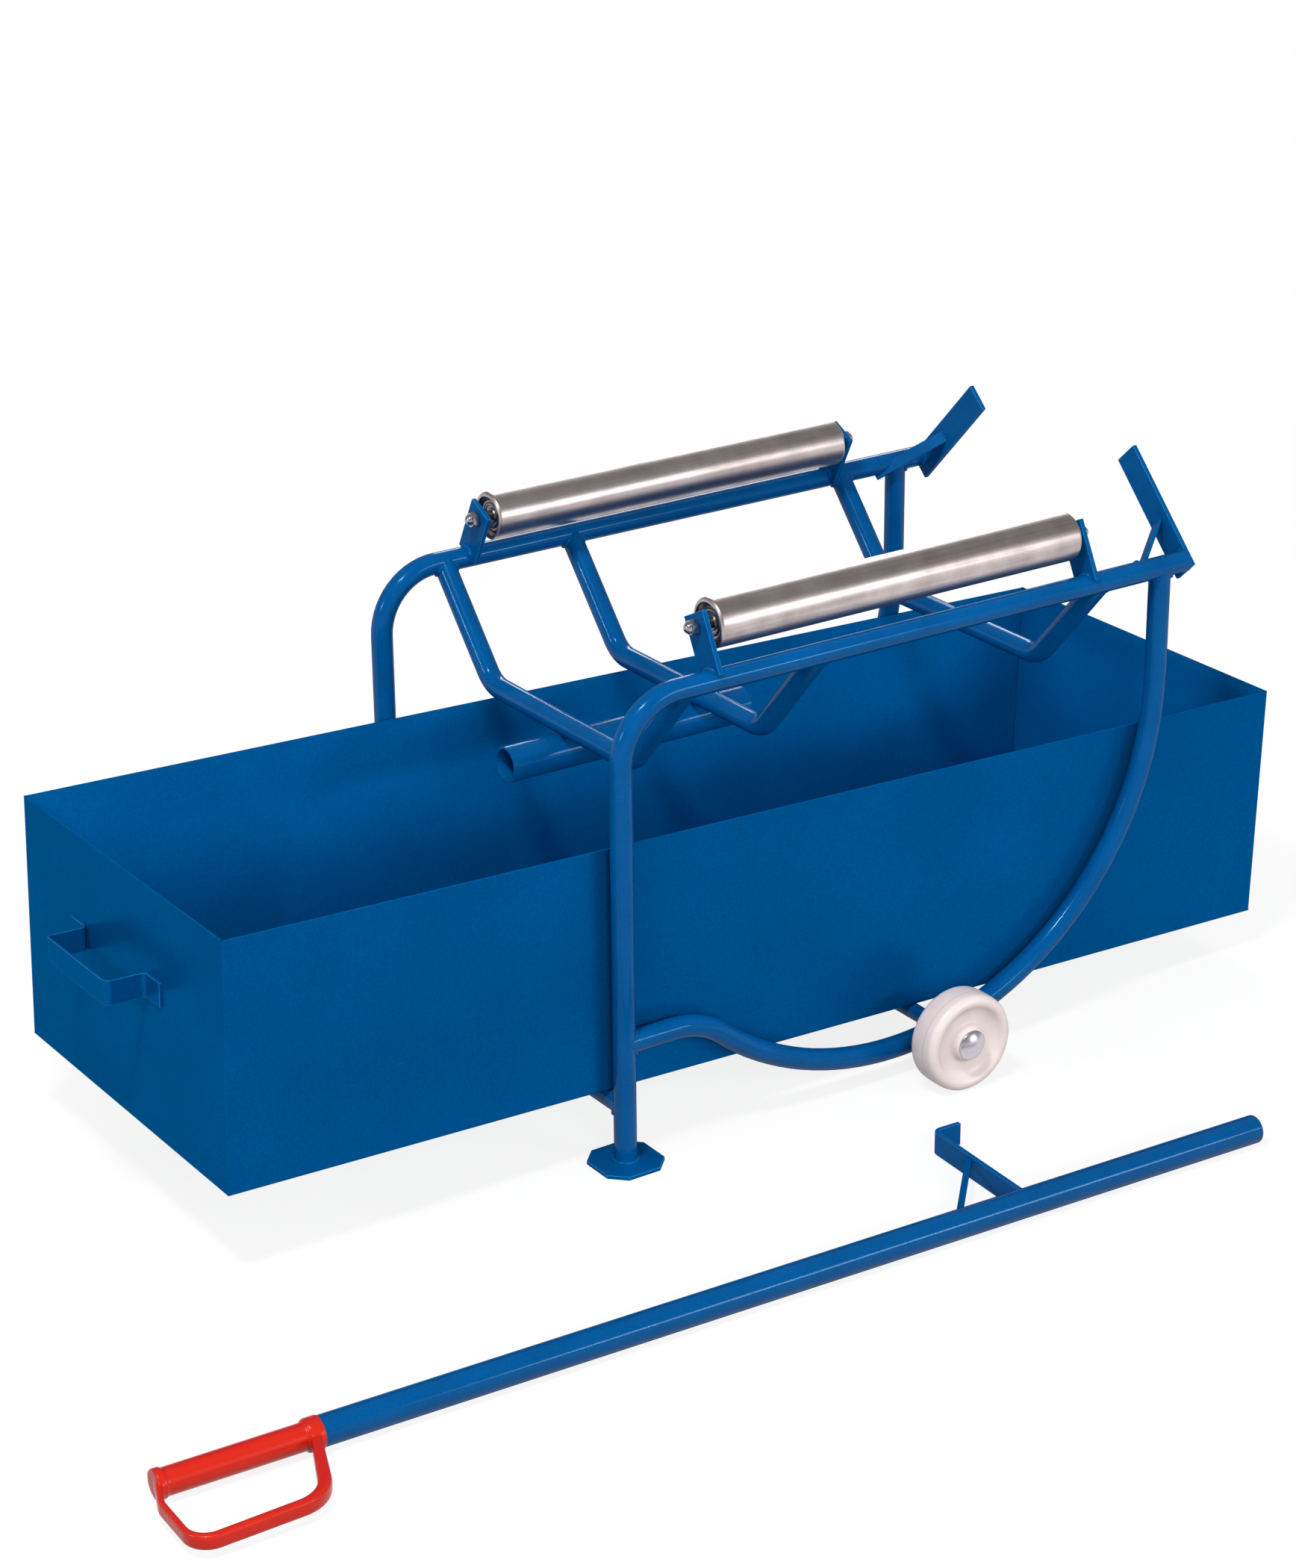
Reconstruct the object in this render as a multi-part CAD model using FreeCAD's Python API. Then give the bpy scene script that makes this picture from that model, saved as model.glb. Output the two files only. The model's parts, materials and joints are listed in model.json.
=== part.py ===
import FreeCAD, Part
import math
import os

# Drum tipper with a collecting tray and a loose lever. Lengths are in millimetres, angles in degrees.
# X runs from the front legs to the toes at the rear, Y across the frame, Z up from the floor.

# Frame tube
tube_d = 26.9
tube_wall = 2.6
cope_land = 2.0

# Side frames: leg, top rail and rocker
leg_x = -242.5
rail_z = 574.0
rail_bend_r = 78.0
rail_end_x = 589.0
lower_rail_z = 154.0
rocker_x = 150.0
rocker_r = 399.0
rocker_lead_r = 110.0

# Cross tubes between the side frames
front_cross_x = -152.0
middle_cross_x = 34.0
rear_cross_x = 455.0
cross_run_z = 446.5
cross_bend_y = 152.0
cross_bend_r = 42.0
lower_cross_z = 74.5

# Lever socket under the cross tubes
socket_d = 44.5
socket_wall = 3.6
socket_front_x = -232.0
socket_length = 344.0

# Foot plates
foot_size = 81.0
foot_thickness = 5.0
foot_chamfer = 19.0

# Wheels and their axle
wheel_d = 125.0
wheel_width = 44.0
wheel_edge_r = 8.0
wheel_recess_d = 100.0
wheel_recess_depth = 11.0
wheel_hub_d = 50.0
wheel_offset = 68.5
wheel_bore_clearance = 0.06
wheel_side_clearance = 0.4
axle_d = 20.0
axle_x = 199.0
axle_bite = 0.6
spacer_d = 28.0
axle_cap_d = 38.0
axle_cap_rim = 2.5
axle_cap_dome = 6.5
axle_cap_seat = 3.0

# Rollers, brackets and roller axles
roller_d = 60.0
roller_wall = 2.0
roller_length = 527.0
roller_lip_share = 0.8
roller_in = 28.5
roller_up = 57.0
roller_axle_d = 12.0
roller_end_gap = 9.0
front_bracket_x = -116.0
bracket_width = 40.0
bracket_thickness = 6.0
bracket_top = 15.0
bracket_foot = 3.0
cup_recess = 5.0
cup_length = 18.0
cup_wall = 2.5
cup_hub_wall = 4.0
bearing_d = 32.0
bearing_width = 10.0
bearing_clearance = 0.05
nut_across = 19.0
nut_height = 8.0
cap_nut_height = 9.0
cap_nut_dome_d = 17.0
thread_clearance = 0.1

# Toes that stop the load at the rear
drum_d = 584.0
toe_width = 37.0
toe_thickness = 6.0
toe_length = 170.0
toe_drop = 15.0
toe_brace_width = 16.0
toe_brace_thickness = 4.0
toe_brace_share = 0.5
toe_brace_rise = 62.0
toe_brace_root = 5.0

# Collecting tray
tray_length = 1500.0
tray_width = 489.0
tray_height = 305.0
tray_sheet = 2.5
tray_side_gap = 5.6
tray_lift = 0.3
tray_x = 0.0
handle_height = 30.0
handle_thickness = 3.0
handle_width = 150.0
handle_reach = 52.0
handle_foot = 36.0
handle_bend_r = 7.0
handle_z = 170.0
handle_shift = 10.8

# Lever: tube, hook and D grip
lever_d = 33.7
lever_wall = 3.2
lever_length = 1406.0
lever_x = -1013.0
lever_y = -578.5
lever_heading = -2.74
plug_length = 4.0
plug_edge_r = 2.5
hook_at = 1067.0
hook_height = 28.0
hook_thickness = 6.0
hook_reach = 179.0
hook_lip = 39.0
hook_bend_r = 9.0
hook_brace_width = 7.5
hook_brace_thickness = 5.0
hook_brace_back = 89.0
hook_brace_out = 104.0
hook_brace_drop = 3.0
grip_body_d = 30.0
grip_flange_d = 33.5
grip_flange_length = 9.0
grip_collar_d = 36.4
grip_collar_at = 166.0
grip_collar_length = 15.0
grip_collar_floor = 3.0
grip_fit = 0.1
grip_bow_height = 17.0
grip_bow_edge_r = 3.5
grip_bow_lead = 3.0
grip_bow_overhang = 16.5
grip_bow_waist = 40.0
grip_bow_near_depth = 126.0
grip_bow_far_depth = 118.0
grip_bow_far_x = 140.0
grip_bow_side_band = 7.5
grip_bow_run_band = 11.0
grip_window_near_x = 6.0
grip_window_far_x = 127.0
grip_window_root_x = 170.0
grip_bow_far_r = 50.0
grip_bow_near_r = 28.0
grip_bow_waist_r = 40.0

# Cuts run past the material by this much
overrun = 5.0
full_turn = 360.0
hex_sides = 6

# Sizes that follow from the ones above
tube_r = tube_d / 2
axle_r = axle_d / 2
wheel_r = wheel_d / 2
roller_r = roller_d / 2
lever_r = lever_d / 2
side_y = tray_width / 2 + tray_side_gap + tube_r
rocker_z = wheel_r + math.sqrt((rocker_r - tube_r - axle_r + axle_bite) ** 2 - (axle_x - rocker_x) ** 2)
post_x = rocker_x + rocker_r
roller_y = side_y - roller_in
roller_z = rail_z + roller_up
bracket_pitch = roller_length + roller_end_gap * 2 + bracket_thickness
roller_mid_x = front_bracket_x + bracket_pitch / 2
drum_z = roller_z + math.sqrt((drum_d / 2 + roller_r) ** 2 - roller_y ** 2)
socket_z = cross_run_z - tube_r - socket_d / 2
wheel_y = side_y + wheel_offset
hub_end_y = wheel_y + wheel_width / 2
cap_start_y = hub_end_y + wheel_side_clearance
axle_end_y = cap_start_y + axle_cap_seat
sides = {"right": -1, "left": 1}

# The tray lies on the lower cross tube and on the axle, so its slope comes from their two tops.
support_run = axle_x - leg_x
support_fall = wheel_r - lower_cross_z
tray_slope = math.asin((tube_r - axle_r) / math.hypot(support_run, support_fall))
tray_slope -= math.atan2(support_fall, support_run)
tray_offset = leg_x * math.sin(tray_slope) + lower_cross_z * math.cos(tray_slope) + tube_r + tray_lift
tray_z = (tray_offset - tray_x * math.sin(tray_slope)) / math.cos(tray_slope)

# The lever lies on its collar and its tip, so it falls a little towards the tip.
collar_r = grip_collar_d / 2
lever_fall = math.atan2(collar_r - lever_r, lever_length - grip_collar_at)
lever_z = collar_r / math.cos(lever_fall) + grip_collar_at * math.sin(lever_fall)

x_axis = FreeCAD.Vector(1, 0, 0)
y_axis = FreeCAD.Vector(0, 1, 0)
z_axis = FreeCAD.Vector(0, 0, 1)


def at(x, y, z):
    return FreeCAD.Vector(x, y, z)


def bend_arc(before, corner, after, radius):
    """The arc that rounds one corner of a route, and the two points where it leaves the straight runs."""
    back = (before - corner).normalize()
    ahead = (after - corner).normalize()
    half_angle = back.getAngle(ahead) / 2
    reach = radius / math.tan(half_angle)
    centre = corner + (back + ahead).normalize() * (radius / math.sin(half_angle))
    start = corner + back * reach
    end = corner + ahead * reach
    middle = centre + (corner - centre).normalize() * radius
    return start, end, Part.Arc(start, middle, end).toShape()


def route(points, radii):
    """A wire of straight runs through the points, joined by tangent arcs at the inner points."""
    edges = []
    last = points[0]
    for corner, before, after, radius in zip(points[1:-1], points[:-2], points[2:], radii):
        start, end, arc = bend_arc(before, corner, after, radius)
        edges.append(Part.LineSegment(last, start).toShape())
        edges.append(arc)
        last = end
    edges.append(Part.LineSegment(last, points[-1]).toShape())
    return Part.Wire(edges)


def outline(points, radii):
    """A closed wire with its corners rounded; a radius of 0 keeps a corner sharp."""
    count = len(points)
    starts, ends, arcs = [], [], []
    for index, corner in enumerate(points):
        if radii[index] == 0:
            starts.append(corner)
            ends.append(corner)
            arcs.append(None)
            continue
        start, end, arc = bend_arc(points[index - 1], corner, points[(index + 1) % count], radii[index])
        starts.append(start)
        ends.append(end)
        arcs.append(arc)
    edges = []
    for index in range(count):
        edges.append(Part.LineSegment(ends[index - 1], starts[index]).toShape())
        if arcs[index] is not None:
            edges.append(arcs[index])
    return Part.Wire(edges)


def rod_along(path, start, ahead, radius):
    ring = Part.Wire([Part.Circle(start, ahead, radius).toShape()])
    return path.makePipeShell([ring], True, False)


def tube_along(path, start, ahead, diameter, wall):
    outside = rod_along(path, start, ahead, diameter / 2)
    return outside.cut(rod_along(path, start, ahead, diameter / 2 - wall))


def straight_tube(start, ahead, length, diameter, wall):
    outside = Part.makeCylinder(diameter / 2, length, start, ahead)
    return outside.cut(Part.makeCylinder(diameter / 2 - wall, length, start, ahead))


def flat_bar(points, radii, thickness, height):
    """A flat bar on edge, bent round corners that lie in one level plane at its lower edge."""
    path = route(points, radii)
    ahead = (points[1] - points[0]).normalize()
    across = z_axis.cross(ahead) * (thickness / 2)
    up = z_axis * height
    start = points[0]
    section = Part.makePolygon([start - across, start + across, start + across + up, start - across + up,
                                start - across])
    return path.makePipeShell([section], True, False)


def revolved(profile, centre, axis):
    return Part.Face(profile).revolve(centre, axis, full_turn).Solids[0]


def hex_prism(across_flats, height, start, ahead):
    corner_r = across_flats / math.sqrt(3)
    across = ahead.cross(z_axis).normalize() * corner_r
    turn = FreeCAD.Rotation(ahead, full_turn / hex_sides)
    points = [across]
    for _ in range(hex_sides):
        points.append(turn.multVec(points[-1]))
    return Part.Face(Part.makePolygon([start + point for point in points])).extrude(ahead * height)


# Solids of the frame tubes without their bores, which other pieces are coped to
def leg_column(side):
    return Part.makeCylinder(tube_r, rail_z, at(leg_x, side * side_y, 0), z_axis)


def rail_bar(side):
    return Part.makeCylinder(tube_r, rail_end_x - leg_x, at(leg_x, side * side_y, rail_z), x_axis)


def axle_bar():
    return Part.makeCylinder(axle_r, axle_end_y * 2, at(axle_x, -axle_end_y, wheel_r), y_axis)


def leg_rail(side):
    y = side * side_y
    foot = at(leg_x, y, foot_thickness)
    path = route([foot, at(leg_x, y, rail_z), at(rail_end_x, y, rail_z)], [rail_bend_r])
    return tube_along(path, foot, z_axis, tube_d, tube_wall)


def rocker(side):
    """Lower rail, reverse bend, large rocker arc and rear post, all one bent tube."""
    y = side * side_y
    lead_fall = rocker_z - lower_rail_z + rocker_lead_r
    centre_gap = rocker_r + rocker_lead_r
    lead_x = rocker_x - math.sqrt(centre_gap ** 2 - lead_fall ** 2)
    lead_centre = at(lead_x, y, lower_rail_z - rocker_lead_r)
    arc_centre = at(rocker_x, y, rocker_z)
    toward = (arc_centre - lead_centre).normalize()
    start = at(leg_x + cope_land, y, lower_rail_z)
    lead_start = at(lead_x, y, lower_rail_z)
    join = lead_centre + toward * rocker_lead_r
    lead_middle = lead_centre + (toward + z_axis).normalize() * rocker_lead_r
    arc_middle = arc_centre + (x_axis - toward).normalize() * rocker_r
    post_low = at(post_x, y, rocker_z)
    post_high = at(post_x, y, rail_z - cope_land)
    path = Part.Wire([
        Part.LineSegment(start, lead_start).toShape(),
        Part.Arc(lead_start, lead_middle, join).toShape(),
        Part.Arc(join, arc_middle, post_low).toShape(),
        Part.LineSegment(post_low, post_high).toShape()])
    tube = tube_along(path, start, x_axis, tube_d, tube_wall)
    return tube.cut(leg_column(side)).cut(rail_bar(side)).cut(axle_bar())


def cross_tube(x):
    """A trapezoid of tube that dips between the rails to clear a round load."""
    slope = at(0, side_y - cross_bend_y, rail_z - cross_run_z).normalize()
    right_rail = at(x, -side_y, rail_z)
    left_rail = at(x, side_y, rail_z)
    right_in = at(0, slope.y, -slope.z)
    left_in = at(0, -slope.y, -slope.z)
    start = right_rail + right_in * cope_land
    corners = [start, at(x, -cross_bend_y, cross_run_z), at(x, cross_bend_y, cross_run_z),
               left_rail + left_in * cope_land]
    tube = tube_along(route(corners, [cross_bend_r, cross_bend_r]), start, right_in, tube_d, tube_wall)
    for side in sides.values():
        tube = tube.cut(rail_bar(side))
    return tube


def lower_cross_tube():
    half = side_y - cope_land
    tube = straight_tube(at(leg_x, -half, lower_cross_z), y_axis, half * 2, tube_d, tube_wall)
    for side in sides.values():
        tube = tube.cut(leg_column(side))
    return tube


def lever_socket():
    return straight_tube(at(socket_front_x, 0, socket_z), x_axis, socket_length, socket_d, socket_wall)


def foot_plate(side):
    """Eight-sided plate: a square with its corners cut off."""
    half = foot_size / 2
    short = half - foot_chamfer
    reach = [(half, short), (short, half), (-short, half), (-half, short),
             (-half, -short), (-short, -half), (short, -half), (half, -short)]
    points = [at(leg_x + x, side * side_y + y, 0) for x, y in reach]
    return Part.Face(Part.makePolygon(points + points[:1])).extrude(z_axis * foot_thickness)


def wheel(side):
    """Plain nylon wheel with a recess round the hub on both faces and rounded tread edges."""
    half = wheel_width / 2
    floor = half - wheel_recess_depth
    bore_r = axle_r + wheel_bore_clearance
    centre = at(axle_x, side * wheel_y, wheel_r)
    shape = [(bore_r, half), (wheel_hub_d / 2, half), (wheel_hub_d / 2, floor),
             (wheel_recess_d / 2, floor), (wheel_recess_d / 2, half), (wheel_r, half),
             (wheel_r, -half), (wheel_recess_d / 2, -half), (wheel_recess_d / 2, -floor),
             (wheel_hub_d / 2, -floor), (wheel_hub_d / 2, -half), (bore_r, -half)]
    radii = [0] * len(shape)
    radii[shape.index((wheel_r, half))] = wheel_edge_r
    radii[shape.index((wheel_r, -half))] = wheel_edge_r
    points = [centre + at(r, y, 0) for r, y in shape]
    return revolved(outline(points, radii), centre, y_axis)


def wheel_axle():
    return axle_bar()


def wheel_spacer(side):
    start_y = side_y + tube_r
    length = wheel_y - wheel_width / 2 - wheel_side_clearance - start_y
    start = at(axle_x, side * start_y, wheel_r)
    return Part.makeCylinder(spacer_d / 2, length, start, y_axis * side).cut(axle_bar())


def wheel_cap(side):
    """Domed push-on cap over the end of the axle."""
    centre = at(axle_x, side * cap_start_y, wheel_r)
    cap_r = axle_cap_d / 2
    top = axle_cap_rim + axle_cap_dome
    sphere_r = (cap_r ** 2 + axle_cap_dome ** 2) / (axle_cap_dome * 2)
    arc_angle = math.asin(cap_r / sphere_r) / 2
    middle_r = sphere_r * math.sin(arc_angle)
    middle_y = top - sphere_r * (1 - math.cos(arc_angle))
    out = y_axis * side
    inner = centre
    edge = centre + x_axis * cap_r
    brim = edge + out * axle_cap_rim
    middle = centre + x_axis * middle_r + out * middle_y
    peak = centre + out * top
    profile = Part.Wire([
        Part.LineSegment(inner, edge).toShape(),
        Part.LineSegment(edge, brim).toShape(),
        Part.Arc(brim, middle, peak).toShape(),
        Part.LineSegment(peak, inner).toShape()])
    return revolved(profile, centre, y_axis).cut(axle_bar())


def bracket_x(end):
    return front_bracket_x + bracket_pitch * end


def roller_bracket(side, end):
    """Flat bar that leans inwards from the rail to the roller, its foot coped over the rail."""
    lean = at(0, -side * roller_in, roller_up).normalize()
    across = x_axis.cross(lean) * (bracket_width / 2)
    reach = math.hypot(roller_in, roller_up)
    low = at(bracket_x(end) - bracket_thickness / 2, side * side_y, rail_z) + lean * bracket_foot
    high = low + lean * (reach + bracket_top - bracket_foot)
    plate = Part.Face(Part.makePolygon([low - across, low + across, high + across, high - across,
                                        low - across])).extrude(x_axis * bracket_thickness)
    hole_start = at(bracket_x(end) - bracket_thickness, side * roller_y, roller_z)
    hole = Part.makeCylinder(roller_axle_d / 2 + thread_clearance, bracket_thickness * 2, hole_start, x_axis)
    return plate.cut(rail_bar(side)).cut(hole)


def roller_axle_half():
    return bracket_pitch / 2 + bracket_thickness / 2 + cap_nut_height


def roller_axle(side):
    half = roller_axle_half()
    return Part.makeCylinder(roller_axle_d / 2, half * 2, at(roller_mid_x - half, side * roller_y, roller_z),
                             x_axis)


def axle_ends():
    """Each end of the two roller axles: the bracket's middle and the direction outwards."""
    for side in sides.values():
        for end, out in ((0, -1), (1, 1)):
            yield at(bracket_x(end), side * roller_y, roller_z), x_axis * out


def roller_cap_nuts():
    nuts = []
    bore_r = roller_axle_d / 2 + thread_clearance
    for middle, out in axle_ends():
        start = middle + out * (bracket_thickness / 2)
        nut = hex_prism(nut_across, cap_nut_height, start, out)
        dome = Part.makeSphere(cap_nut_dome_d / 2, start + out * cap_nut_height)
        bore = Part.makeCylinder(bore_r, cap_nut_height, start, out)
        nuts.append(nut.fuse(dome).cut(bore))
    return Part.makeCompound([solid for nut in nuts for solid in nut.Solids])


def roller_lock_nuts():
    nuts = []
    bore_r = roller_axle_d / 2 + thread_clearance
    for middle, out in axle_ends():
        start = middle - out * (bracket_thickness / 2)
        nut = hex_prism(nut_across, nut_height, start, out * -1)
        nuts.append(nut.cut(Part.makeCylinder(bore_r, nut_height, start, out * -1)))
    return Part.makeCompound([solid for nut in nuts for solid in nut.Solids])


def roller_tube(side):
    """Tube with its ends rolled in to a round lip, as deep as the end cups are recessed."""
    middle = at(roller_mid_x, side * roller_y, roller_z)
    half = roller_length / 2
    lip_r = roller_r - cup_recess
    bore_r = roller_r - roller_wall
    outside = [(half, lip_r), (half, roller_r), (-half, roller_r), (-half, lip_r)]
    inside = [(roller_wall - half, lip_r), (roller_wall - half, bore_r), (half - roller_wall, bore_r),
              (half - roller_wall, lip_r)]
    round_r = cup_recess * roller_lip_share
    outside_r = [0, round_r, round_r, 0]
    inside_r = [0, round_r - roller_wall, round_r - roller_wall, 0]
    points = [middle + at(x, r, 0) for x, r in outside + inside]
    return revolved(outline(points, outside_r + inside_r), middle, x_axis)


def roller_ends(side):
    """The outer face of the end cup at each end of a roller, and the direction into the roller."""
    for into in (1, -1):
        x = roller_mid_x - into * (roller_length / 2 - cup_recess)
        yield at(x, side * roller_y, roller_z), x_axis * into


def roller_end_cups(side):
    """Pressed cups that hold the bearings in the ends of the roller tube."""
    cups = []
    bore_r = roller_r - roller_wall
    hub_r = bearing_d / 2 + cup_hub_wall
    for start, into in roller_ends(side):
        rim = Part.makeCylinder(bore_r, cup_length, start, into)
        trough = Part.makeCylinder(bore_r - cup_wall, cup_length - cup_wall, start, into)
        hub = Part.makeCylinder(hub_r, cup_length, start, into)
        seat = Part.makeCylinder(bearing_d / 2, cup_length, start, into)
        cups.append(rim.cut(trough.cut(hub)).cut(seat))
    return Part.makeCompound([solid for cup in cups for solid in cup.Solids])


def roller_bearings(side):
    rings = []
    for start, into in roller_ends(side):
        ring = Part.makeCylinder(bearing_d / 2, bearing_width, start, into)
        bore = Part.makeCylinder(roller_axle_d / 2 + bearing_clearance, bearing_width, start, into)
        rings.append(ring.cut(bore))
    return Part.makeCompound([solid for ring in rings for solid in ring.Solids])


def toe_lean(side):
    """Direction of a toe: from the rail straight at the axis of the load."""
    return at(0, -side * side_y, drum_z - rail_z).normalize()


def toe(side):
    lean = toe_lean(side)
    across = x_axis.cross(lean) * (toe_width / 2)
    low = at(rail_end_x, side * side_y, rail_z - toe_drop)
    high = low + lean * toe_length
    return Part.Face(Part.makePolygon([low - across, low + across, high + across, high - across,
                                       low - across])).extrude(x_axis * toe_thickness)


def toe_brace(side):
    """Thin flat strut from the rail, part of the way to the rear bracket, to the middle of the toe."""
    lean = toe_lean(side)
    across = x_axis.cross(lean) * (toe_brace_width / 2)
    run = (rail_end_x - bracket_x(1)) * toe_brace_share
    low = at(rail_end_x - run, side * side_y, rail_z - toe_drop) + lean * toe_brace_root
    high = at(rail_end_x, side * side_y, rail_z - toe_drop) + lean * (toe_brace_rise + toe_drop)
    ahead = (high - low).normalize()
    thick = lean.cross(x_axis).cross(ahead).normalize() * toe_brace_thickness
    end = high + ahead * overrun
    strip = Part.Face(Part.makePolygon([low - across, low + across, end + across, end - across,
                                        low - across])).extrude(thick)
    beyond = Part.makeBox(toe_length, side_y * 2, drum_z, at(rail_end_x, -side_y, 0))
    return strip.cut(rail_bar(side)).cut(beyond)


def set_on_supports(shape):
    """Move a piece of the tray from the tray's own axes to its sloping place on the two supports."""
    turn = FreeCAD.Rotation(y_axis, math.degrees(tray_slope))
    placed = shape.copy()
    placed.Placement = FreeCAD.Placement(at(tray_x, 0, tray_z), turn).multiply(placed.Placement)
    return placed


def tray_pan():
    outside = Part.makeBox(tray_length, tray_width, tray_height, at(-tray_length / 2, -tray_width / 2, 0))
    inside = Part.makeBox(tray_length - tray_sheet * 2, tray_width - tray_sheet * 2, tray_height,
                          at(tray_sheet - tray_length / 2, tray_sheet - tray_width / 2, tray_sheet))
    return set_on_supports(outside.cut(inside))


def tray_handle(out):
    """Flat bar bent to a U with its feet turned outwards along the end wall."""
    wall_x = tray_length / 2 + handle_thickness / 2
    bow_x = tray_length / 2 + handle_reach - handle_thickness / 2
    arm_y = (handle_width - handle_thickness) / 2
    reach = [(wall_x, -arm_y - handle_foot), (wall_x, -arm_y), (bow_x, -arm_y),
             (bow_x, arm_y), (wall_x, arm_y), (wall_x, arm_y + handle_foot)]
    points = [at(x * out, (handle_shift + y) * -out, handle_z) for x, y in reach]
    bar = flat_bar(points, [handle_bend_r] * (len(points) - 2), handle_thickness, handle_height)
    return set_on_supports(bar)


def lay_on_floor(shape):
    """Move a piece of the lever from the lever's own axes to its place on the floor."""
    turn = FreeCAD.Rotation(z_axis, lever_heading)
    turn = turn.multiply(FreeCAD.Rotation(y_axis, math.degrees(lever_fall)))
    placed = shape.copy()
    placed.Placement = FreeCAD.Placement(at(lever_x, lever_y, lever_z), turn).multiply(placed.Placement)
    return placed


def lever_start():
    return grip_collar_at + grip_collar_floor


def lever_bar():
    return Part.makeCylinder(lever_r, lever_length, at(0, 0, 0), x_axis)


def lever_tube():
    start = lever_start()
    return lay_on_floor(straight_tube(at(start, 0, 0), x_axis, lever_length - plug_length - start,
                                      lever_d, lever_wall))


def lever_end_plug():
    """Disc that closes the tip of the lever, with a rounded edge."""
    start = lever_length - plug_length
    shape = [(start, 0), (lever_length, 0), (lever_length, lever_r), (start, lever_r)]
    points = [at(x, y, 0) for x, y in shape]
    return lay_on_floor(revolved(outline(points, [0, 0, plug_edge_r, 0]), at(0, 0, 0), x_axis))


def lever_hook():
    """Flat bar on edge that stands out from the lever and turns towards the tip."""
    low = -hook_height / 2
    middle = hook_at + hook_thickness / 2
    end_y = hook_reach - hook_thickness / 2
    points = [at(middle, 0, low), at(middle, end_y, low), at(hook_at + hook_lip, end_y, low)]
    return lay_on_floor(flat_bar(points, [hook_bend_r], hook_thickness, hook_height).cut(lever_bar()))


def lever_hook_brace():
    """Thin strut from the lever to the back of the hook, level with the hook's upper edge."""
    top = hook_height / 2 - hook_brace_drop
    low = at(hook_at - hook_brace_back, 0, top - hook_brace_thickness)
    high = at(hook_at, hook_brace_out, top - hook_brace_thickness)
    ahead = (high - low).normalize()
    across = z_axis.cross(ahead) * (hook_brace_width / 2)
    end = high + ahead * hook_brace_width
    strip = Part.Face(Part.makePolygon([low - across, low + across, end + across, end - across,
                                        low - across])).extrude(z_axis * hook_brace_thickness)
    beyond = Part.makeBox(hook_lip, hook_reach, hook_height, at(hook_at, 0, -hook_height / 2))
    return lay_on_floor(strip.cut(lever_bar()).cut(beyond))


def grip_bow():
    """Flat D of the grip: an outer outline with a window, thicker at the collar than elsewhere."""
    collar_end = grip_collar_at + grip_collar_length
    low = -grip_bow_height / 2
    outer = [(collar_end, 0), (grip_bow_far_x, -grip_bow_far_depth),
             (-grip_bow_overhang, -grip_bow_near_depth), (-grip_bow_overhang, -grip_bow_waist),
             (-grip_bow_lead, 0)]
    near_x = grip_bow_side_band - grip_bow_overhang
    inner = [(grip_window_root_x, 0), (grip_window_far_x, grip_bow_run_band - grip_bow_far_depth),
             (near_x, grip_bow_run_band - grip_bow_near_depth), (near_x, -grip_bow_waist),
             (grip_window_near_x, 0)]
    outer_r = [0, grip_bow_far_r, grip_bow_near_r, grip_bow_waist_r, 0]
    inner_r = [0, grip_bow_far_r - grip_bow_run_band, grip_bow_near_r - grip_bow_side_band,
               grip_bow_waist_r - grip_bow_side_band, 0]
    plate = Part.Face(outline([at(x, y, low) for x, y in outer], outer_r))
    window = Part.Face(outline([at(x, y, low) for x, y in inner], inner_r))
    bow = plate.cut(window).Faces[0].extrude(z_axis * grip_bow_height)
    rims = [edge for edge in bow.Edges if edge.BoundBox.ZLength < overrun and edge.BoundBox.YMin < -overrun]
    return bow.makeFillet(grip_bow_edge_r, rims)


def lever_grip():
    """Moulded D grip: hand bar in line with the lever, a collar over the tube's end, and the bow."""
    body = Part.makeCylinder(grip_body_d / 2, grip_collar_at + grip_bow_lead, at(-grip_bow_lead, 0, 0), x_axis)
    flange = Part.makeCylinder(grip_flange_d / 2, grip_flange_length, at(-grip_bow_lead, 0, 0), x_axis)
    collar = Part.makeCylinder(collar_r, grip_collar_length, at(grip_collar_at, 0, 0), x_axis)
    seat = Part.makeCylinder(lever_r + grip_fit, grip_collar_length, at(lever_start(), 0, 0), x_axis)
    solid = body.fuse([flange, collar, grip_bow()]).cut(seat)
    return lay_on_floor(solid.removeSplitter())


nodes = {}
for name, side in sides.items():
    nodes[name + "_leg_rail"] = leg_rail(side)
    nodes[name + "_rocker"] = rocker(side)
    nodes[name + "_foot_plate"] = foot_plate(side)
    nodes[name + "_wheel"] = wheel(side)
    nodes[name + "_wheel_spacer"] = wheel_spacer(side)
    nodes[name + "_wheel_cap"] = wheel_cap(side)
    nodes[name + "_front_bracket"] = roller_bracket(side, 0)
    nodes[name + "_rear_bracket"] = roller_bracket(side, 1)
    nodes[name + "_roller_axle"] = roller_axle(side)
    nodes[name + "_roller_tube"] = roller_tube(side)
    nodes[name + "_roller_end_cups"] = roller_end_cups(side)
    nodes[name + "_roller_bearings"] = roller_bearings(side)
    nodes[name + "_toe"] = toe(side)
    nodes[name + "_toe_brace"] = toe_brace(side)
nodes["front_cross_tube"] = cross_tube(front_cross_x)
nodes["middle_cross_tube"] = cross_tube(middle_cross_x)
nodes["rear_cross_tube"] = cross_tube(rear_cross_x)
nodes["lower_cross_tube"] = lower_cross_tube()
nodes["lever_socket"] = lever_socket()
nodes["wheel_axle"] = wheel_axle()
nodes["roller_cap_nuts"] = roller_cap_nuts()
nodes["roller_lock_nuts"] = roller_lock_nuts()
nodes["tray_pan"] = tray_pan()
nodes["tray_front_handle"] = tray_handle(-1)
nodes["tray_rear_handle"] = tray_handle(1)
nodes["lever_tube"] = lever_tube()
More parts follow.
